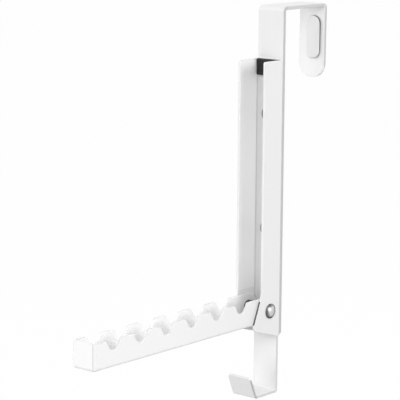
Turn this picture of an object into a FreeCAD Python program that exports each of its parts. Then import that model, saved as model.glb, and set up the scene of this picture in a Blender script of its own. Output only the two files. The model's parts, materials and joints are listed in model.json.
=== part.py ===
"""Over door hook with a folding hanger arm, in millimetres.

A steel strap hangs over the top of a door. A U channel is riveted to the strap's front leg, and the channel's
base runs on below as a J hook. A notched arm turns on a rivet through the channel's cheeks: it rests level,
with its rear end against the channel's base, and folds up into the channel against a rubber stop.

The origin is the middle of the strap's underside, where it sits on the door. X runs across the strap, -Y points
into the room, +Y over the door, and Z is up.
"""

import FreeCAD, Part
import math
import os

# Over door strap
door_gap = 38.0
strap_width = 19.0
strap_thick = 2.1
strap_bend = 1.0
front_leg = 197.6
front_leg_corner = 3.0
back_leg = 43.1
back_leg_corner = 8.0
back_leg_spring_deg = 0.7

# Pad on the back leg, glued on slightly to one side
pad_width = 10.0
pad_length = 26.0
pad_thick = 1.5
pad_corner = 4.9
pad_drop = 5.7
pad_shift = 1.6
pad_edge = 0.5

# U channel that carries the arm
channel_width = 20.4
channel_thick = 1.5
channel_bend = 0.4
channel_depth = 17.7
channel_drop = 29.2
channel_length = 168.1
channel_corner = 1.2

# Cheeks of the channel, which flare out round the arm
flare_above_pivot = 10.5
flare_angle_deg = 22.0
flare_blend = 8.0
cheek_rake_deg = 17.0
nose_above_foot = 7.9
nose_corner = 2.5

# J hook below the channel
hook_width = 17.3
hook_drop = 232.6
hook_reach = 21.1
hook_bend = 0.6
tip_length = 14.7
tip_lean_deg = 22.5
tip_corner = 2.2

# Folding arm
pivot_out = 8.5
pivot_above_foot = 17.55
arm_width = 16.6
arm_thick = 1.5
arm_bend = 0.2
arm_length = 150.6
arm_rise = 8.25
arm_fall = 7.4
arm_crown = 0.7
stop_clearance = 0.1

# Notches for hangers, in both walls of the arm
notch_count = 6
notch_pitch = 22.0
notch_first = 24.7
notch_depth = 5.9
notch_radius = 4.2
notch_slope_deg = 30.0
notch_shoulder = 2.0

# Pivot rivet and the spacer on it
shank_radius = 2.5
shank_clearance = 0.05
head_radius = 4.5
head_height = 2.2
head_rim = 0.4
tail_radius = 4.0
tail_height = 1.3
tail_bevel = 0.6
tail_bore = 1.6
tail_bore_depth = 3.0
spacer_radius = 4.2
spacer_end_clearance = 0.1

# Rivets that join the channel to the strap
joint_drops = (62.2, 131.8)
joint_head_radius = 4.8
joint_head_height = 1.6
joint_shank_radius = 2.0
joint_sink_radius = 3.5
joint_sink_depth = 1.2

# Rubber stop for the folded arm
stop_height = 9.8
stop_thick = 2.0
stop_edge = 1.2
stop_lip = 0.4

# Places that follow from the sizes above
leg_back_y = -door_gap / 2
seat_y = leg_back_y - strap_thick
floor_y = seat_y - channel_thick
channel_top_z = -channel_drop
channel_foot_z = channel_top_z - channel_length
pivot_y = floor_y - pivot_out
pivot_z = channel_foot_z + pivot_above_foot
cheek_x = channel_width / 2
slack = 1.0


def across(u, v):
    """A point of a side view: u runs along Y and v along Z."""
    return FreeCAD.Vector(0, u, v)


def from_above(u, v):
    """A point of a plan: u runs along X and v along Y."""
    return FreeCAD.Vector(u, v, 0)


def unit(a, b):
    length = math.hypot(b[0] - a[0], b[1] - a[1])
    return ((b[0] - a[0]) / length, (b[1] - a[1]) / length)


def offset_path(points, distance):
    """The same path moved to its left by the distance, with mitred corners."""
    moved = []
    last = len(points) - 1
    for i, point in enumerate(points):
        before = unit(points[max(i - 1, 0)], points[max(i, 1)])
        after = unit(points[min(i, last - 1)], points[min(i + 1, last)])
        normal = (-before[1] - after[1], before[0] + after[0])
        share = 1 + before[0] * after[0] + before[1] * after[1]
        moved.append((point[0] + distance * normal[0] / share, point[1] + distance * normal[1] / share))
    return moved


def side_of_strip(points, half, radius, place):
    """Edges along one face of a bent strip: half is the signed distance from its middle line."""
    edges = []
    at = None
    for i in range(len(points) - 1):
        along = unit(points[i], points[i + 1])
        normal = (-along[1], along[0])
        start = (points[i][0] + half * normal[0], points[i][1] + half * normal[1])
        end = (points[i + 1][0] + half * normal[0], points[i + 1][1] + half * normal[1])
        if at is not None:
            start = at
        if i + 2 < len(points):
            onward = unit(points[i + 1], points[i + 2])
            turn = math.atan2(along[0] * onward[1] - along[1] * onward[0],
                              along[0] * onward[0] + along[1] * onward[1])
            side = 1 if turn > 0 else -1
            back = radius * math.tan(abs(turn) / 2)
            centre = (points[i + 1][0] - back * along[0] + side * radius * normal[0],
                      points[i + 1][1] - back * along[1] + side * radius * normal[1])
            reach = radius - side * half
            arc = []
            for share in (0, 0.5, 1):
                angle = math.atan2(-side * normal[1], -side * normal[0]) + share * turn
                arc.append((centre[0] + reach * math.cos(angle), centre[1] + reach * math.sin(angle)))
            end = arc[0]
        edges.append(Part.LineSegment(place(*start), place(*end)).toShape())
        at = end
        if i + 2 < len(points):
            edges.append(Part.Arc(place(*arc[0]), place(*arc[1]), place(*arc[2])).toShape())
            at = arc[2]
    return edges


def bent_strip(points, thick, bend, place):
    """Face of a strip of even thickness along a middle line, with bends of that inner radius."""
    radius = bend + thick / 2
    left = side_of_strip(points, thick / 2, radius, place)
    right = side_of_strip(points, -thick / 2, radius, place)
    ends = []
    for i, j in ((0, 1), (-1, -2)):
        along = unit(points[i], points[j])
        reach = thick / 2
        ends.append(Part.LineSegment(
            place(points[i][0] - along[1] * reach, points[i][1] + along[0] * reach),
            place(points[i][0] + along[1] * reach, points[i][1] - along[0] * reach)).toShape())
    return Part.Face(Part.Wire(Part.__sortEdges__(left + right + ends)))


def rounded_outline(corners, place):
    """Face of a closed outline of (u, v, radius) corners, with an arc at each corner that has a radius."""
    edges = []
    count = len(corners)
    joints = []
    for i, (u, v, radius) in enumerate(corners):
        here = (u, v)
        before = unit(here, corners[i - 1][:2])
        after = unit(here, corners[(i + 1) % count][:2])
        if radius <= 0:
            joints.append((here, here))
            continue
        half = math.acos(before[0] * after[0] + before[1] * after[1]) / 2
        back = radius / math.tan(half)
        start = (u + before[0] * back, v + before[1] * back)
        end = (u + after[0] * back, v + after[1] * back)
        middle = unit((0, 0), (before[0] + after[0], before[1] + after[1]))
        far = radius / math.sin(half) - radius
        crest = (u + middle[0] * far, v + middle[1] * far)
        edges.append(Part.Arc(place(*start), place(*crest), place(*end)).toShape())
        joints.append((start, end))
    for i in range(count):
        start = joints[i][1]
        end = joints[(i + 1) % count][0]
        edges.append(Part.LineSegment(place(*start), place(*end)).toShape())
    return Part.Face(Part.Wire(Part.__sortEdges__(edges)))


def spread(face, width):
    """Solid of a side view, spread evenly over the width across X."""
    face.translate(FreeCAD.Vector(-width / 2, 0, 0))
    return face.extrude(FreeCAD.Vector(width, 0, 0))


def block(low, high):
    """Box between two corners."""
    return Part.makeBox(high[0] - low[0], high[1] - low[1], high[2] - low[2], FreeCAD.Vector(*low))


def rod_x(radius, x_from, x_to, y, z):
    return Part.makeCylinder(radius, x_to - x_from, FreeCAD.Vector(x_from, y, z), FreeCAD.Vector(1, 0, 0))


def rod_y(radius, y_from, y_to, z):
    return Part.makeCylinder(radius, y_to - y_from, FreeCAD.Vector(0, y_from, z), FreeCAD.Vector(0, 1, 0))


def picked(shape, wanted):
    """Edges whose middle point and direction the test wants."""
    edges = []
    for edge in shape.Edges:
        middle = edge.valueAt((edge.FirstParameter + edge.LastParameter) / 2)
        along = edge.tangentAt((edge.FirstParameter + edge.LastParameter) / 2)
        if wanted(middle, along):
            edges.append(edge)
    return edges


def fillet(shape, radius, wanted):
    return shape.makeFillet(radius, picked(shape, wanted))


def door_strap():
    lean = back_leg * math.tan(math.radians(back_leg_spring_deg))
    door_side = [(leg_back_y, -front_leg), (leg_back_y, 0), (door_gap / 2, 0), (door_gap / 2 - lean, -back_leg)]
    middle = offset_path(door_side, strap_thick / 2)
    strap = spread(bent_strip(middle, strap_thick, strap_bend, across), strap_width)
    edge_x = strap_width / 2
    strap = fillet(strap, front_leg_corner,
                   lambda p, d: abs(abs(p.x) - edge_x) < 0.01 and p.z < -front_leg + 0.01 and abs(d.y) > 0.9)
    strap = fillet(strap, back_leg_corner,
                   lambda p, d: abs(abs(p.x) - edge_x) < 0.01 and p.y > 0 and abs(d.y) > 0.9
                   and abs(p.z + back_leg) < strap_thick / 2)
    for drop in joint_drops:
        strap = strap.cut(rod_y(joint_shank_radius + shank_clearance, seat_y - slack, leg_back_y + slack, -drop))
        sink = Part.makeCone(joint_shank_radius + shank_clearance, joint_sink_radius + shank_clearance,
                             joint_sink_depth, FreeCAD.Vector(0, leg_back_y - joint_sink_depth, -drop),
                             FreeCAD.Vector(0, 1, 0))
        strap = strap.cut(sink)
    return strap


def door_pad():
    end = pad_width / 2
    face_y = door_gap / 2
    outline = rounded_outline([(-end, 0, pad_corner), (end, 0, pad_corner),
                               (end, -pad_length, pad_corner), (-end, -pad_length, pad_corner)],
                              lambda u, v: FreeCAD.Vector(u + pad_shift, face_y, v - pad_drop))
    pad = outline.extrude(FreeCAD.Vector(0, -pad_thick, 0))
    rim = picked(pad, lambda p, d: abs(p.y - face_y + pad_thick) < 0.001)
    pad = pad.makeChamfer(min(pad_edge, pad_thick * 0.6), rim)
    pad.rotate(FreeCAD.Vector(0, face_y, 0), FreeCAD.Vector(1, 0, 0), -back_leg_spring_deg)
    return pad


def cheek_outline():
    """Side view of the channel: straight wall above, flared cheek round the pivot."""
    flare_z = pivot_z + flare_above_pivot
    nose_z = channel_foot_z + nose_above_foot
    wall_y = seat_y - channel_depth
    nose_y = wall_y - (flare_z - nose_z) * math.tan(math.radians(flare_angle_deg))
    rake = math.tan(math.radians(cheek_rake_deg))
    foot_y = nose_y
    foot_z = channel_foot_z + (seat_y - nose_y) * rake
    corner_z = min(foot_z, nose_z)
    return rounded_outline([(seat_y, channel_top_z, 0), (wall_y, channel_top_z, channel_corner),
                            (wall_y, flare_z, flare_blend), (foot_y, corner_z, nose_corner),
                            (seat_y, channel_foot_z, 0)], across)


def arm_housing():
    deep = 2 * channel_depth
    plan = [(-cheek_x, seat_y - deep), (-cheek_x, seat_y), (cheek_x, seat_y), (cheek_x, seat_y - deep)]
    middle = offset_path(plan, -channel_thick / 2)
    channel = bent_strip(middle, channel_thick, channel_bend, from_above)
    channel.translate(FreeCAD.Vector(0, 0, channel_foot_z))
    channel = channel.extrude(FreeCAD.Vector(0, 0, channel_length))
    channel = channel.common(spread(cheek_outline(), channel_width + 2 * slack))
    housing = channel.fuse(lower_hook()).removeSplitter()
    hole = shank_radius + shank_clearance
    housing = housing.cut(rod_x(hole, -cheek_x - slack, cheek_x + slack, pivot_y, pivot_z))
    for drop in joint_drops:
        housing = housing.cut(rod_y(joint_shank_radius + shank_clearance, floor_y - slack, seat_y + slack, -drop))
    return housing


def lower_hook():
    """Tab that runs down from the channel's base and turns out and up."""
    lean = math.radians(tip_lean_deg)
    front_y = seat_y - hook_reach
    outer = [(seat_y, channel_foot_z + channel_thick), (seat_y, -hook_drop), (front_y, -hook_drop),
             (front_y - tip_length * math.sin(lean), -hook_drop + tip_length * math.cos(lean))]
    middle = offset_path(outer, -channel_thick / 2)
    hook = spread(bent_strip(middle, channel_thick, hook_bend, across), hook_width)
    edge_x = hook_width / 2
    return fillet(hook, min(tip_corner, hook_width / 2 - 0.1),
                  lambda p, d: abs(abs(p.x) - edge_x) < 0.01 and abs(p.y - outer[3][0]) < channel_thick
                  and abs(p.z - outer[3][1]) < channel_thick and abs(d.y) > 0.5)


def notch_outline(centre_y):
    """Rounded notch in the top edge of the arm's walls, with sloping sides and rounded shoulders."""
    top = pivot_z + arm_rise
    slope = math.radians(notch_slope_deg)
    rise = notch_depth - notch_radius - notch_shoulder
    mouth = (notch_radius + notch_shoulder + rise * math.sin(slope)) / math.cos(slope)
    middle_z = top - notch_depth + notch_radius
    shoulder_z = top - notch_shoulder

    def arc(side, centre_u, centre_v, radius, turns):
        return [across(centre_y + side * (centre_u + radius * u), centre_v + radius * v) for u, v in turns]

    half = math.radians(45) + slope / 2
    low = [(math.cos(slope), -math.sin(slope)), (0, -1)]
    high = [(-math.cos(slope), math.sin(slope)), (-math.cos(half), math.sin(half)), (0, 1)]
    left_low, bottom = arc(-1, 0, middle_z, notch_radius, low)
    right_low = arc(1, 0, middle_z, notch_radius, low)[0]
    left = arc(-1, mouth, shoulder_z, notch_shoulder, high)
    right = arc(1, mouth, shoulder_z, notch_shoulder, high)
    above = [across(centre_y - mouth, top + slack), across(centre_y + mouth, top + slack)]
    edges = [Part.Arc(left_low, bottom, right_low).toShape(), Part.Arc(*left).toShape(), Part.Arc(*right).toShape()]
    for start, end in ((left_low, left[0]), (right_low, right[0]), (left[2], above[0]),
                       (above[0], above[1]), (above[1], right[2])):
        edges.append(Part.LineSegment(start, end).toShape())
    return Part.Face(Part.Wire(Part.__sortEdges__(edges)))


def folding_arm():
    """One folded sheet: a trough with a closed front end, open at the rear and the top."""
    half = arm_width / 2
    end_y = pivot_y - arm_length
    rear_y = floor_y - stop_clearance
    top = pivot_z + arm_rise
    crest = top + arm_crown
    low = pivot_z - arm_fall
    outer_bend = arm_bend + arm_thick
    outer = block((-half, end_y, low), (half, rear_y, crest))
    outer = fillet(outer, outer_bend, lambda p, d: (abs(p.z - low) < 0.01 and abs(d.z) < 0.1 and p.y < rear_y - 1)
                   or (abs(p.y - end_y) < 0.01 and abs(d.z) > 0.9))
    inner_low = low + arm_thick
    inner_end = end_y + arm_thick
    inner_half = half - arm_thick
    inner = block((-inner_half, inner_end, inner_low), (inner_half, rear_y + slack, crest + slack))
    inner = fillet(inner, arm_bend, lambda p, d: (abs(p.z - inner_low) < 0.01 and abs(d.z) < 0.1 and p.y < rear_y)
                   or (abs(p.y - inner_end) < 0.01 and abs(d.z) > 0.9))
    arm = outer.cut(inner)
    arm = arm.cut(block((-half - slack, inner_end, top), (half + slack, rear_y + slack, crest + slack)))
    arch = Part.Arc(FreeCAD.Vector(-half, end_y - slack, top), FreeCAD.Vector(0, end_y - slack, crest),
                    FreeCAD.Vector(half, end_y - slack, top)).toShape()
    over = Part.makePolygon([FreeCAD.Vector(half, end_y - slack, top),
                             FreeCAD.Vector(half + slack, end_y - slack, top),
                             FreeCAD.Vector(half + slack, end_y - slack, crest + slack),
                             FreeCAD.Vector(-half - slack, end_y - slack, crest + slack),
                             FreeCAD.Vector(-half - slack, end_y - slack, top),
                             FreeCAD.Vector(-half, end_y - slack, top)])
    arm = arm.cut(Part.Face(Part.Wire(Part.__sortEdges__([arch] + over.Edges))).extrude(
        FreeCAD.Vector(0, arm_thick + slack, 0)))
    for number in range(notch_count):
        centre = pivot_y - notch_first - number * notch_pitch
        arm = arm.cut(spread(notch_outline(centre), arm_width + 2 * slack))
    round_y = rear_y - arm_rise
    corner = block((-half - slack, round_y, pivot_z), (half + slack, rear_y + slack, crest + slack))
    arm = arm.cut(corner.cut(rod_x(arm_rise, -half - 2 * slack, half + 2 * slack, round_y, pivot_z)))
    return arm.cut(rod_x(shank_radius + shank_clearance, -half - slack, half + slack, pivot_y, pivot_z))


def pivot_spacer():
    half = arm_width / 2 - arm_thick - spacer_end_clearance
    tube = rod_x(spacer_radius, -half, half, pivot_y, pivot_z)
    return tube.cut(rod_x(shank_radius + shank_clearance, -half - slack, half + slack, pivot_y, pivot_z))


def turned(profile):
    """Solid of revolution about the rivet's own axis: the profile is (height, radius) points and arcs."""
    edges = []
    for step in profile:
        points = [FreeCAD.Vector(height, radius, 0) for height, radius in step]
        curve = Part.Arc(*points) if len(points) == 3 else Part.LineSegment(*points)
        edges.append(curve.toShape())
    face = Part.Face(Part.Wire(Part.__sortEdges__(edges)))
    return face.revolve(FreeCAD.Vector(0, 0, 0), FreeCAD.Vector(1, 0, 0), 360)


def dome(radius, height, rim):
    """Mid point of the arc from the rim of a domed head to its crown."""
    rise = height - rim
    sphere = (radius * radius + rise * rise) / (2 * rise)
    half = math.asin(radius / sphere) / 2
    return (height - sphere + sphere * math.cos(half), sphere * math.sin(half))


def pivot_rivet():
    """Domed head on the near cheek, upset tail with a tool bore on the far one."""
    head = cheek_x
    tail = -cheek_x
    end = tail - tail_height
    bevel = tail_bevel
    crown = head + head_height
    middle = dome(head_radius, head_height, head_rim)
    rivet = turned([
        [(crown, 0), (head + middle[0], middle[1]), (head + head_rim, head_radius)],
        [(head + head_rim, head_radius), (head, head_radius)],
        [(head, head_radius), (head, shank_radius)],
        [(head, shank_radius), (tail, shank_radius)],
        [(tail, shank_radius), (tail, tail_radius)],
        [(tail, tail_radius), (end + bevel, tail_radius)],
        [(end + bevel, tail_radius), (end, tail_radius - bevel)],
        [(end, tail_radius - bevel), (end, tail_bore + bevel)],
        [(end, tail_bore + bevel), (end + bevel, tail_bore)],
        [(end + bevel, tail_bore), (tail + tail_bore_depth, tail_bore)],
        [(tail + tail_bore_depth, tail_bore), (tail + tail_bore_depth, 0)],
        [(tail + tail_bore_depth, 0), (crown, 0)],
    ])
    rivet.translate(FreeCAD.Vector(0, pivot_y, pivot_z))
    return rivet


def strap_rivet(drop):
    """Domed head inside the channel, countersunk tail flush with the strap's back."""
    grip = channel_thick + strap_thick
    middle = dome(joint_head_radius, joint_head_height, head_rim)
    sink = grip - joint_sink_depth
    rivet = turned([
        [(-joint_head_height, 0), (-middle[0], middle[1]), (-head_rim, joint_head_radius)],
        [(-head_rim, joint_head_radius), (0, joint_head_radius)],
        [(0, joint_head_radius), (0, joint_shank_radius)],
        [(0, joint_shank_radius), (sink, joint_shank_radius)],
        [(sink, joint_shank_radius), (grip, joint_sink_radius)],
        [(grip, joint_sink_radius), (grip, 0)],
        [(grip, 0), (-joint_head_height, 0)],
    ])
    rivet.rotate(FreeCAD.Vector(0, 0, 0), FreeCAD.Vector(0, 0, 1), 90)
    rivet.translate(FreeCAD.Vector(0, floor_y, -drop))
    return rivet


def stop_bumper():
    """Rubber block on the channel's base, flush with the top of the channel."""
    half = channel_width / 2 - channel_thick - channel_bend
    front = floor_y - stop_thick
    bumper = block((-half, front, channel_top_z - stop_height), (half, floor_y, channel_top_z))
    bumper = fillet(bumper, min(stop_edge, stop_thick * 0.7),
                    lambda p, d: abs(p.y - front) < 0.01 and abs(d.z) > 0.9)
    return fillet(bumper, stop_lip, lambda p, d: abs(p.y - front) < 0.01 and abs(d.x) > 0.9)


def main():
    parts = {
        "door_strap": door_strap(),
        "door_pad": door_pad(),
        "arm_housing": arm_housing(),
        "stop_bumper": stop_bumper(),
        "strap_rivet_upper": strap_rivet(joint_drops[0]),
        "strap_rivet_lower": strap_rivet(joint_drops[1]),
        "pivot_rivet": pivot_rivet(),
        "folding_arm": folding_arm(),
        "pivot_spacer": pivot_spacer(),
    }
    os.makedirs("parts", exist_ok=True)
    for name, shape in parts.items():
        if shape.ShapeType == "Compound" and len(shape.Solids) == 1:
            shape = shape.Solids[0]
        box = shape.BoundBox
        print(f"{name}: {len(shape.Solids)} solid, valid {shape.isValid()}, {shape.Volume:.1f} mm3, "
              f"x {box.XMin:.2f} {box.XMax:.2f}, y {box.YMin:.2f} {box.YMax:.2f}, z {box.ZMin:.2f} {box.ZMax:.2f}")
        shape.exportStep(f"parts/{name}.step")


main()
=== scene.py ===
"""Looks of the over door hook: powder coated steel, a moulded pad, rubber, nylon and zinc plated rivets.

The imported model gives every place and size. X runs across the strap, -Y into the room along the arm, and Z up
from the top of the door. The scene is in metres and radians; values in millimetres or degrees are marked so.
"""

import json
import math

import bmesh
import bpy
from mathutils import Matrix, Vector

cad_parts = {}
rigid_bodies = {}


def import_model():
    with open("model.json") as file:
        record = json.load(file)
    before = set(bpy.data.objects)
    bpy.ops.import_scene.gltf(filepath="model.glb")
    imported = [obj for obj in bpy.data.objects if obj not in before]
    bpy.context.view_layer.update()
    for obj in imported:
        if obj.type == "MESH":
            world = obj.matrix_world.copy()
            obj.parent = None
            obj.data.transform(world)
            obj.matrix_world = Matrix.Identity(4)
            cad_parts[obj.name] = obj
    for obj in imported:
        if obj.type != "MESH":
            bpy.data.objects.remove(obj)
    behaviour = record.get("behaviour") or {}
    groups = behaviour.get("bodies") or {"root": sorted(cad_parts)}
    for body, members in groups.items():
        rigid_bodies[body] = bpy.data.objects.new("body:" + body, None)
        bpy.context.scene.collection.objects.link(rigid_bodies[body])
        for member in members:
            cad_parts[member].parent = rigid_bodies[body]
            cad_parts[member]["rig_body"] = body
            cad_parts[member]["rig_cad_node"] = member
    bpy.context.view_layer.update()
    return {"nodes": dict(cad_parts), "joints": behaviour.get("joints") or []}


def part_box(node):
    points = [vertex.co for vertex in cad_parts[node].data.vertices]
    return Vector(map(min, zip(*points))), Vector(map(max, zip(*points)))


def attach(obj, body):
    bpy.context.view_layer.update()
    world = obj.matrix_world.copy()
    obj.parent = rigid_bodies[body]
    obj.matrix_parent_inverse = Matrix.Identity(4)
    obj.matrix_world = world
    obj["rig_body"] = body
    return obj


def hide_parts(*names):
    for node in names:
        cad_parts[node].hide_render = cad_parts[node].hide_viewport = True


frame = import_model()
nodes = frame["nodes"]

MM = 0.001
PIVOT = tuple(frame["joints"][0]["pos_m"])  # on the arm's hinge axis, which runs along X
STRAP_RIVETS = ("strap_rivet_upper", "strap_rivet_lower")

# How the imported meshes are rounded.
WELD = 0.002 * MM  # corners nearer than this are one
FLAT_ANGLE = math.radians(0.3)  # faces that meet at less are one flat face
SHARP_ANGLE = math.radians(38)  # edges that turn by more are rounded
SMOOTH_ANGLE = math.radians(50)  # edges that turn by less are shaded smooth
COAT_BEND = 0.28  # mm, radius that the coat gives a square edge
ROUNDING_STEPS = 2

# Edges left sharp, by place in mm: rivets hide the bores, and the other places are too tight to round.
STRAP_RIVET_REACH = 4.2  # bores within this of a strap rivet's axis, under its head
PIVOT_REACH = 3.0  # bores within this of the hinge axis
SHEETS_FRONT_Y = -23.0  # the strap and the channel's base lie behind this
FOOT_Y, FOOT_Z = -24.0, -194.0  # behind and below these, the channel's base narrows to the tab
CAP_Y, CAP_Z = -177.5, -173.5  # in front of and above these, the end cap's arch meets the arm's walls
HEEL_Y = -24.5  # behind this lies the arm's rear end, which bears on the channel's base

# Greyed zones, painted light and shade among them: title, low and high corner as (|x|, y, z) in mm, soft edge
# in mm, and grey level.
# Each row covers those before it.
STRAP_ZONES = (
    # The strap's cut sides are greyed darker, less so on the top plate's sides.
    ("Darker on the sheared sides", (9.15, -100, -400), (20, 100, 20), 0.3, 0.57),
    ("Less dark on the top plate's sides", (9.1, -17.5, -0.3), (20, 20.4, 5), 0.3, 0.66),
    # Painted light: the inside of the back leg and the underside of the top plate are brightened to stand in
    # for fill light in their shade.
    ("Painted fill light inside the back leg", (-1, 17.0, -60), (9.6, 19.4, 0.5), 0.3, 0.97),
    ("Painted fill light under the top plate", (-1, -18, -1), (9.4, 18.5, 0.4), 0.3, 0.97),
)
CHANNEL_ZONES = (
    # Painted light: the channel's inner walls are brightened to stand in for bounced light inside them.
    ("Painted bounce light inside the walls", (-1, -39, -169), (9.0, -23.2, -30), 0.3, 0.99),
    # Painted shade: the base behind the arm is darkened where the walls shade it.
    ("Painted shade on the base behind the arm", (-1, -22.8, -196), (8.6, -20, 0), 0.3, 0.8),
    # Painted shade: dark lines in the inner bends stand in for their shadow.
    ("Painted shadow lines in the inner bends", (8.0, -23.3, -180), (9.1, -22.2, -29.5), 0.3, 0.68),
    # The tab's and the tip's cut sides are greyed darker.
    ("Darker on the tab's sides", (8.3, -60, -400), (20, 20, -197.4), 0.3, 0.72),
    ("Darker on the tip's sides", (8.3, -60, -400), (20, -40.5, -210), 0.3, 0.47),
    # Painted shadow: a black line on the cheeks' front edges stands in for the shadow in the gap beside the
    # arm.
    ("Painted gap shadow at the cheeks' front edges", (8.73, -60, -186.2), (9.9, -25, -172.6), 0.12, 0.06),
)
ARM_ZONES = (
    # Painted light: the arm is lightened toward its end, but not on the end cap or inside the trough.
    ("Painted light toward the arm's end", (-1000, -1000, -1000), (1000, -45, 1000), 75, 0.98),
    ("End cap without the painted light", (-1, -200, -200), (20, -181.3, -100), 0.3, 0.93),
    ("Trough inside without the painted light", (-1, -181, -186), (7.6, -20, -160), 0.3, 0.93),
    # The notched edges are greyed darker.
    ("Darker on the notched edges", (6.9, -180, -181), (8.25, -20, -160), 0.25, 0.83),
    # The end cap's folds are greyed darker.
    ("Darker on the end cap's folds", (7.2, -200, -200), (20, -181.2, -160), 0.5, 0.45),
    # Painted shade high inside the trough, and painted bounced light low in it.
    ("Painted shade high inside the trough", (-1, -181, -178), (6.95, -20, -170), 1.5, 0.885),
    ("Painted bounce light low in the trough", (-1, -181, -186), (6.95, -20, -175.5), 1.5, 0.97),
)
PAD_ZONES = (
    # The pad's sides are black next to the leg.
    ("Black on the pad's sides next to the leg", (-1, 17.7, -100), (20, 30, 10), 0.12, 0.07),
)

FLOOR_SIDE = 60.0  # m
FLOOR_Z = -0.62  # m
FLOOR_GLOW = 0.98  # share of the floor's own white where it is seen, so that some shadow stays
FLOOR_BOUNCE = 0.4  # grey of the floor to bounced light
WORLD_BOUNCE = 0.43  # strength of the world to bounced light

# Softboxes: name, place in m, side in m and power in W. All face the middle of the hook.
HOOK_MIDDLE = (0.0, -0.08, -0.12)
SOFTBOXES = (
    ("far left front softbox", (-1.5, -0.9, 0.3), 0.8, 10.0),
    ("right front softbox", (0.9, -1.3, 0.6), 0.8, 8.6),
    ("low front softbox", (-0.3, -0.75, -0.3), 0.4, 1.2),
    ("right softbox", (1.7, 0.0, 0.4), 0.8, 12.2),
    ("top softbox", (0.0, -0.2, 1.5), 0.8, 2.9),
    ("back softbox", (0.2, 1.6, 0.5), 0.8, 8.0),
    ("left softbox", (-1.6, -0.3, 0.4), 0.8, 2.0),
)

# Camera fitted to the outlines in the photograph.
CAMERA_PLACE = (0.687213, -0.885192, 0.089667)  # m
CAMERA_LENS = 167.71  # mm, on a sensor 36 mm wide
AZIMUTH, ELEVATION, ROLL = 40.642, 10.501, 0.407  # degrees

FLOAT, COLOUR, VECTOR = "NodeSocketFloat", "NodeSocketColor", "NodeSocketVector"
FINISH_OUTPUTS = (("Colour", COLOUR), ("Roughness", FLOAT), ("Height", FLOAT))
# A Mix node has sockets for each type of data. These are the numbers of those for colours.
MIX_FACTOR, MIX_FIRST, MIX_SECOND, MIX_RESULT = 0, 6, 7, 2


def grey(value):
    return (value, value, value, 1.0)


def middle_z(node):
    low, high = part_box(node)
    return (low.z + high.z) / 2


def feed(node, inputs):
    """Sets a node's inputs, by name or number: each to a value, or to the output that feeds it."""
    for socket, value in inputs.items():
        if isinstance(value, bpy.types.NodeSocket):
            node.id_data.links.new(value, node.inputs[socket])
        else:
            node.inputs[socket].default_value = value


def placed(tree, kind, x, y, label="", inputs=None, **settings):
    """A shader node at its place in the editor, with its settings and inputs."""
    node = tree.nodes.new(kind)
    node.location = (x, y)
    node.label = label
    for name, value in settings.items():
        setattr(node, name, value)
    feed(node, inputs or {})
    return node


def maths(tree, operation, x, y, label, *inputs, **settings):
    """The result of a Math node."""
    node = placed(tree, "ShaderNodeMath", x, y, label, dict(enumerate(inputs)),
                  operation=operation, **settings)
    return node.outputs["Value"]


def vector_maths(tree, operation, x, y, label, *inputs):
    """The result of a Vector Math node that puts out a vector."""
    node = placed(tree, "ShaderNodeVectorMath", x, y, label, dict(enumerate(inputs)),
                  operation=operation)
    return node.outputs["Vector"]


def mixed(tree, x, y, label, factor, first, second):
    """Two colours mixed by a factor."""
    node = placed(tree, "ShaderNodeMix", x, y, label,
                  {MIX_FACTOR: factor, MIX_FIRST: first, MIX_SECOND: second}, data_type="RGBA")
    return node.outputs[MIX_RESULT]


def new_group(name, inputs, outputs):
    """An empty shader node group. Returns it, the values that it is given and its output node."""
    group = bpy.data.node_groups.new(name, "ShaderNodeTree")
    for socket, kind, value in inputs:
        made = group.interface.new_socket(socket, in_out="INPUT", socket_type=kind)
        if value is not None:
            made.default_value = value
    for socket, kind in outputs:
        group.interface.new_socket(socket, in_out="OUTPUT", socket_type=kind)
    start = placed(group, "NodeGroupInput", -900, 0)
    end = placed(group, "NodeGroupOutput", 700, 0)
    return group, start.outputs, end


def make_orange_peel():
    """Soft dimples of a baked powder coat, with a slow change of tone over the sheet."""
    group, given, end = new_group(
        "Orange peel",
        (("Vector", VECTOR, None), ("Dimple Scale", FLOAT, 900.0), ("Tone Spread", FLOAT, 0.02),
         ("Colour", COLOUR, grey(0.8)), ("Roughness", FLOAT, 0.35)),
        FINISH_OUTPUTS)
    dimples = placed(group, "ShaderNodeTexNoise", -600, 200, "Dimples",
                     {"Vector": given["Vector"], "Scale": given["Dimple Scale"],
                      "Detail": 1.5, "Roughness": 0.4})
    cloud = placed(group, "ShaderNodeTexNoise", -600, -100, "Slow tone",
                   {"Vector": given["Vector"], "Scale": 35.0, "Detail": 2.0})
    centred = maths(group, "SUBTRACT", -400, -100, "Centred", cloud.outputs["Fac"], 0.5)
    spread = maths(group, "MULTIPLY", -200, -100, "Spread", centred, given["Tone Spread"])
    factor = maths(group, "ADD", 0, -100, "Tone factor", spread, 1.0)
    toned = placed(group, "ShaderNodeVectorMath", 300, 100, "Toned colour",
                   {0: given["Colour"], "Scale": factor}, operation="SCALE")
    rough = maths(group, "MULTIPLY_ADD", 300, -150, "Rough where dull", centred, 0.12, given["Roughness"])
    feed(end, {"Colour": toned.outputs["Vector"], "Roughness": rough, "Height": dimples.outputs["Fac"]})
    return group


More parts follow.
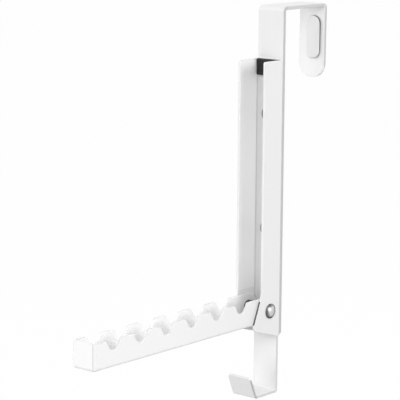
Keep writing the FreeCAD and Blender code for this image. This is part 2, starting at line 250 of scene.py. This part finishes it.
def make_moulded_grain():
    """Fine spark grain of a moulded surface, with faint rubbed patches."""
    group, given, end = new_group(
        "Moulded grain",
        (("Vector", VECTOR, None), ("Grain Scale", FLOAT, 4000.0), ("Colour", COLOUR, grey(0.8)),
         ("Rubbed Colour", COLOUR, grey(0.8)), ("Roughness", FLOAT, 0.5)),
        FINISH_OUTPUTS)
    grain = placed(group, "ShaderNodeTexNoise", -600, 200, "Grain",
                   {"Vector": given["Vector"], "Scale": given["Grain Scale"],
                    "Detail": 3.0, "Roughness": 0.6})
    patches = placed(group, "ShaderNodeTexNoise", -600, -100, "Rubbed patches",
                     {"Vector": given["Vector"], "Scale": 220.0, "Detail": 3.0})
    mask = placed(group, "ShaderNodeMapRange", -350, -100, "Rubbed mask",
                  {"Value": patches.outputs["Fac"], "From Min": 0.5, "From Max": 0.75}).outputs["Result"]
    colour = mixed(group, 300, 100, "Rubbed", mask, given["Colour"], given["Rubbed Colour"])
    rough = maths(group, "MULTIPLY_ADD", 300, -150, "Smoother where rubbed",
                  mask, -0.12, given["Roughness"])
    feed(end, {"Colour": colour, "Roughness": rough, "Height": grain.outputs["Fac"]})
    return group


def make_pressed_zinc():
    """Zinc plate on a pressed rivet: faint rings round its Z axis, a painted dark reflection on the rim, and
    crystal blotches.
    """
    group, given, end = new_group(
        "Pressed zinc",
        (("Vector", VECTOR, None), ("Head Radius", FLOAT, 0.0045), ("Colour", COLOUR, grey(0.6)),
         ("Rim Reflection Colour", COLOUR, grey(0.4)), ("Roughness", FLOAT, 0.3)),
        FINISH_OUTPUTS)
    flat = vector_maths(group, "MULTIPLY", -700, 100, "Off the axis", given["Vector"], (1.0, 1.0, 0.0))
    out = placed(group, "ShaderNodeVectorMath", -500, 100, "Distance from the axis", {0: flat},
                 operation="LENGTH").outputs["Value"]
    share = maths(group, "DIVIDE", -300, 100, "Share of the head", out, given["Head Radius"])
    rim = placed(group, "ShaderNodeMapRange", -100, 100, "Rim mask",
                 {"Value": share, "From Min": 0.5, "From Max": 0.88},
                 interpolation_type="SMOOTHSTEP").outputs["Result"]
    blotches = placed(group, "ShaderNodeTexNoise", -500, -150, "Crystal blotches",
                      {"Vector": given["Vector"], "Scale": 900.0, "Detail": 3.0}).outputs["Fac"]
    # Painted reflection: the rim is greyed dark to stand in for the dark surroundings that the dome's rim
    # reflects.
    colour = mixed(group, 200, 150, "Painted dark reflection on the rim", rim, given["Colour"], given["Rim Reflection Colour"])
    rough = maths(group, "MULTIPLY_ADD", 200, -150, "Uneven gloss", blotches, 0.15, given["Roughness"])
    phase = maths(group, "MULTIPLY", 0, -300, "Ring phase", out, 14000.0)  # for rings 0.45 mm apart
    rings = maths(group, "SINE", 200, -300, "Press rings", phase)
    feed(end, {"Colour": colour, "Roughness": rough, "Height": rings})
    return group


def make_zone():
    """Soft-edged mask of a box, the same on both sides of the middle, for greyed zones and painted light and
    shade.
    """
    group, given, end = new_group(
        "Zone",
        (("Vector", VECTOR, None), ("Low", VECTOR, None), ("High", VECTOR, None), ("Blur", FLOAT, 0.0002)),
        (("Mask", FLOAT),))
    mirrored = vector_maths(group, "ABSOLUTE", -700, 0, "Both sides alike", given["Vector"])
    own = placed(group, "ShaderNodeSeparateXYZ", -700, -200, inputs={"Vector": given["Vector"]}).outputs
    folded = placed(group, "ShaderNodeSeparateXYZ", -520, 100, inputs={"Vector": mirrored}).outputs
    point = placed(group, "ShaderNodeCombineXYZ", -340, 0, "Folded place",
                   {"X": folded["X"], "Y": own["Y"], "Z": own["Z"]}).outputs["Vector"]
    above = vector_maths(group, "SUBTRACT", -160, 100, "Above the low corner", point, given["Low"])
    below = vector_maths(group, "SUBTRACT", -160, -100, "Below the high corner", given["High"], point)
    inside = vector_maths(group, "MINIMUM", 20, 0, "Depth inside", above, below)
    depth = placed(group, "ShaderNodeSeparateXYZ", 160, 0, inputs={"Vector": inside}).outputs
    least = maths(group, "MINIMUM", 280, 100, "Least of two", depth["X"], depth["Y"])
    least_of_all = maths(group, "MINIMUM", 400, 0, "Least of three", least, depth["Z"])
    mask = maths(group, "DIVIDE", 540, 0, "Soft edge", least_of_all, given["Blur"], use_clamp=True)
    feed(end, {"Mask": mask})
    return group


def tinted(material, title, low, high, blur, value):
    """Greys one zone of a material, given in millimetres as (|x|, y, z) corners."""
    tree = material.node_tree
    shader = tree.nodes["Principled BSDF"]
    place = next(node for node in tree.nodes if node.type == "TEX_COORD")
    mask = placed(tree, "ShaderNodeGroup", -400, 300, title, node_tree=zone)
    feed(mask, {"Vector": place.outputs["Object"], "Low": [v * MM for v in low],
                "High": [v * MM for v in high], "Blur": blur * MM})
    colour = shader.inputs["Base Color"].links[0].from_socket
    greyed = mixed(tree, -150, 200, title, mask.outputs["Mask"], colour, grey(value))
    feed(shader, {"Base Color": greyed})


def surface(name, group, values, bump, depth, metallic=0.0, specular=0.5, tint=1.0, zones=(),
            centre=None, turn=(0.0, 0.0, 0.0)):
    """A material that reads one of the shared groups on Object coordinates, with relief of a depth in mm.

    With a centre, the coordinates start there, on axes turned by the angles in turn.
    """
    material = bpy.data.materials.new(name)
    material.use_nodes = True
    tree = material.node_tree
    place = placed(tree, "ShaderNodeTexCoord", -900, 0).outputs["Object"]
    if centre is not None:
        place = placed(tree, "ShaderNodeMapping", -650, 0, "Centred on the piece",
                       {"Vector": place, "Location": centre, "Rotation": turn},
                       vector_type="TEXTURE").outputs["Vector"]
    effect = placed(tree, "ShaderNodeGroup", -400, 0, group.name, values | {"Vector": place},
                    node_tree=group)
    relief = placed(tree, "ShaderNodeBump", -200, -250, "Relief",
                    {"Strength": bump, "Distance": depth * MM, "Height": effect.outputs["Height"]})
    feed(tree.nodes["Principled BSDF"],
         {"Base Color": effect.outputs["Colour"], "Roughness": effect.outputs["Roughness"],
          "Normal": relief.outputs["Normal"], "Metallic": metallic, "Specular IOR Level": specular,
          "Specular Tint": grey(tint)})
    for row in zones:
        tinted(material, *row)
    return material


def split_level(piece, heights):
    """Splits a piece's faces at heights in millimetres, along seams that the merging of faces keeps."""
    mesh = bmesh.new()
    mesh.from_mesh(piece.data)
    for height in heights:
        whole = mesh.verts[:] + mesh.edges[:] + mesh.faces[:]
        made = bmesh.ops.bisect_plane(mesh, geom=whole, dist=WELD,
                                      plane_co=(0, 0, height * MM), plane_no=(0, 0, 1))
        for part in made["geom_cut"]:
            if isinstance(part, bmesh.types.BMEdge):
                part.seam = True
    mesh.to_mesh(piece.data)
    mesh.free()


def mark_sharp_edges(piece, left_sharp):
    """Gives the sharp edges a bevel weight, except where left_sharp is true of an end in millimetres."""
    mesh = bmesh.new()
    mesh.from_mesh(piece.data)
    weight = mesh.edges.layers.float.new("bevel_weight_edge")
    for edge in mesh.edges:
        sharp = len(edge.link_faces) == 2 and edge.calc_face_angle() > SHARP_ANGLE
        if sharp and not any(left_sharp(v.co / MM) for v in edge.verts):
            edge[weight] = 1.0
    mesh.to_mesh(piece.data)
    mesh.free()


def coated(node, left_sharp=lambda p: False, bend=COAT_BEND, cuts=()):
    """The node's own shape with its sharp edges rounded, as baked powder leaves them.

    Its flat faces are split level at the heights in cuts, so that no face runs round a bore.
    """
    source = nodes[node]
    body = source["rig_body"]
    bpy.ops.object.select_all(action="DESELECT")
    source.select_set(True)
    bpy.context.view_layer.objects.active = source
    bpy.ops.object.duplicate()
    piece = bpy.context.object
    piece.name = f"{node}_coated"
    piece.data.name = piece.name
    piece.parent = None
    del piece["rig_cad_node"]
    bpy.ops.object.mode_set(mode="EDIT")
    bpy.ops.mesh.select_all(action="SELECT")
    bpy.ops.mesh.remove_doubles(threshold=WELD)
    bpy.ops.mesh.customdata_custom_splitnormals_clear()
    bpy.ops.object.mode_set(mode="OBJECT")
    split_level(piece, cuts)
    bpy.ops.object.mode_set(mode="EDIT")
    bpy.ops.mesh.select_all(action="SELECT")
    bpy.ops.mesh.dissolve_limited(angle_limit=FLAT_ANGLE, delimit={"SEAM"})
    bpy.ops.object.mode_set(mode="OBJECT")
    mark_sharp_edges(piece, left_sharp)
    rounding = piece.modifiers.new("Rounded by the coat", "BEVEL")
    rounding.width = bend * MM
    rounding.segments = ROUNDING_STEPS
    rounding.limit_method = "WEIGHT"
    rounding.use_clamp_overlap = False
    bpy.ops.object.modifier_apply(modifier=rounding.name)
    bpy.ops.object.shade_smooth_by_angle(angle=SMOOTH_ANGLE)
    flats = piece.modifiers.new("Flat faces stay flat", "WEIGHTED_NORMAL")
    flats.keep_sharp = True
    bpy.ops.object.modifier_apply(modifier=flats.name)
    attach(piece, body)
    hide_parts(node)
    return piece


def at_bore(p):
    """Whether a point in millimetres is in a rivet's bore."""
    near_strap_rivet = any(math.hypot(p.x, p.z - drop) < STRAP_RIVET_REACH for drop in drops)
    near_pivot = math.hypot(p.y - PIVOT[1] / MM, p.z - PIVOT[2] / MM) < PIVOT_REACH
    return (near_strap_rivet and p.y > SHEETS_FRONT_Y) or near_pivot


def at_bore_or_foot(p):
    """Whether a point of the channel in millimetres is in a bore or at the foot."""
    return at_bore(p) or (p.y > FOOT_Y and p.z < FOOT_Z)


def at_bore_or_end(p):
    """Whether a point of the arm in millimetres is in a bore, at the end cap's arch or at the heel."""
    return at_bore(p) or (p.y < CAP_Y and p.z > CAP_Z) or p.y > HEEL_Y


def seen_directly(tree):
    """1 for rays from the camera, off a mirror or through glass, and 0 for bounced light."""
    rays = placed(tree, "ShaderNodeLightPath", -900, 300).outputs
    seen = maths(tree, "MAXIMUM", -700, 300, "Seen or mirrored",
                 rays["Is Camera Ray"], rays["Is Glossy Ray"])
    return maths(tree, "MAXIMUM", -520, 300, "Or seen through", seen, rays["Is Transmission Ray"])


def ground():
    """White floor well below the hook, as it hangs at door height, which keeps the hook's shadow."""
    bpy.ops.mesh.primitive_plane_add(size=FLOOR_SIDE, location=(0.0, 0.0, FLOOR_Z))
    floor = bpy.context.object
    floor.name = "floor"
    material = bpy.data.materials.new("White floor")
    material.use_nodes = True
    tree = material.node_tree
    tree.nodes.remove(tree.nodes["Principled BSDF"])
    direct = seen_directly(tree)
    share = maths(tree, "MULTIPLY", -340, 300, "Most of it", direct, FLOOR_GLOW)
    shade = placed(tree, "ShaderNodeMapRange", -520, 100, "Pale to bounced light, white to the eye",
                   {"Value": direct, "To Min": FLOOR_BOUNCE, "To Max": 1.0})
    paper = placed(tree, "ShaderNodeBsdfDiffuse", -300, 100, inputs={"Color": shade.outputs["Result"]})
    glow = placed(tree, "ShaderNodeEmission", -300, -100)
    both = placed(tree, "ShaderNodeMixShader", -100, 100,
                  inputs={0: share, 1: paper.outputs["BSDF"], 2: glow.outputs["Emission"]})
    feed(tree.nodes["Material Output"], {"Surface": both.outputs["Shader"]})
    floor.data.materials.append(material)


def surroundings():
    """Even white studio: a plain level for the object, full white where it is seen or mirrored."""
    world = bpy.data.worlds.new("White studio")
    bpy.context.scene.world = world
    world.use_nodes = True
    tree = world.node_tree
    level = placed(tree, "ShaderNodeMapRange", -340, 300, "Level",
                   {"Value": seen_directly(tree), "To Min": WORLD_BOUNCE, "To Max": 1.0})
    feed(tree.nodes["Background"], {"Color": grey(1.0), "Strength": level.outputs["Result"]})


def softbox(name, place, side, watts):
    """Square lamp that faces the middle of the hook."""
    light = bpy.data.lights.new(name, "AREA")
    light.shape = "SQUARE"
    light.size = side
    light.energy = watts
    lamp = bpy.data.objects.new(name, light)
    bpy.context.scene.collection.objects.link(lamp)
    lamp.location = place
    lamp.rotation_mode = "QUATERNION"
    lamp.rotation_quaternion = (Vector(HOOK_MIDDLE) - Vector(place)).to_track_quat("-Z", "Y")


def camera():
    """The photograph's view: from the right of the arm and a little above, with a long lens."""
    data = bpy.data.cameras.new("camera")
    data.lens = CAMERA_LENS
    data.sensor_width = 36.0
    data.clip_start = 0.05
    data.clip_end = 50.0
    view = bpy.data.objects.new("camera", data)
    bpy.context.scene.collection.objects.link(view)
    turn = (Matrix.Rotation(math.radians(AZIMUTH), 4, "Z")
            @ Matrix.Rotation(math.radians(90 - ELEVATION), 4, "X")
            @ Matrix.Rotation(math.radians(ROLL), 4, "Z"))
    view.location = CAMERA_PLACE
    view.rotation_euler = turn.to_euler()
    bpy.context.scene.camera = view


peel = make_orange_peel()
zone = make_zone()
grain = make_moulded_grain()
zinc = make_pressed_zinc()

paint = {"Colour": grey(0.9), "Roughness": 0.3, "Tone Spread": 0.015, "Dimple Scale": 1100.0}
black = {"Colour": grey(0.012), "Rubbed Colour": grey(0.02)}
finishes = {
    "door_strap": surface("White powder coat on the strap", peel, paint | {"Colour": grey(0.88)},
                          bump=0.25, depth=0.03, zones=STRAP_ZONES),
    "arm_housing": surface("White powder coat on the channel", peel, paint | {"Roughness": 0.15},
                           bump=0.25, depth=0.03, zones=CHANNEL_ZONES),
    "folding_arm": surface("White powder coat on the arm", peel, paint | {"Colour": grey(0.93)},
                           bump=0.25, depth=0.03, zones=ARM_ZONES),
    "door_pad": surface(
        "White moulded pad", grain,
        {"Colour": grey(0.87), "Rubbed Colour": grey(0.85), "Roughness": 0.6, "Grain Scale": 5000.0},
        bump=0.3, depth=0.02, zones=PAD_ZONES),
    "stop_bumper": surface("Black rubber", grain, black | {"Roughness": 0.42, "Grain Scale": 4000.0},
                           bump=0.3, depth=0.02, specular=0.3),
    "pivot_spacer": surface("Black nylon", grain, black | {"Roughness": 0.3, "Grain Scale": 6000.0},
                            bump=0.15, depth=0.02),
    "pivot_rivet": surface(
        "Zinc on the pivot rivet", zinc,
        {"Colour": grey(0.63), "Rim Reflection Colour": grey(0.135), "Roughness": 0.24, "Head Radius": 4.5 * MM},
        bump=0.1, depth=0.01, metallic=1.0, tint=0.1,
        centre=(0.0, PIVOT[1], PIVOT[2]), turn=(0.0, math.radians(90), 0.0)),
}
for node in STRAP_RIVETS:
    finishes[node] = surface(
        f"Zinc on {node}", zinc,
        {"Colour": grey(0.55), "Rim Reflection Colour": grey(0.3), "Roughness": 0.22, "Head Radius": 4.8 * MM},
        bump=0.1, depth=0.01, metallic=1.0,
        centre=(0.0, 0.0, middle_z(node)), turn=(math.radians(90), 0.0, 0.0))
for node, finish in finishes.items():
    mesh = nodes[node].data
    mesh.materials.clear()
    mesh.materials.append(finish)

drops = [middle_z(node) / MM for node in STRAP_RIVETS]
coated("door_strap", at_bore, cuts=drops)
coated("arm_housing", at_bore_or_foot)
coated("folding_arm", at_bore_or_end)
coated("door_pad", bend=0.2)

ground()
surroundings()
for row in SOFTBOXES:
    softbox(*row)
camera()
bpy.context.scene.view_settings.view_transform = "Standard"
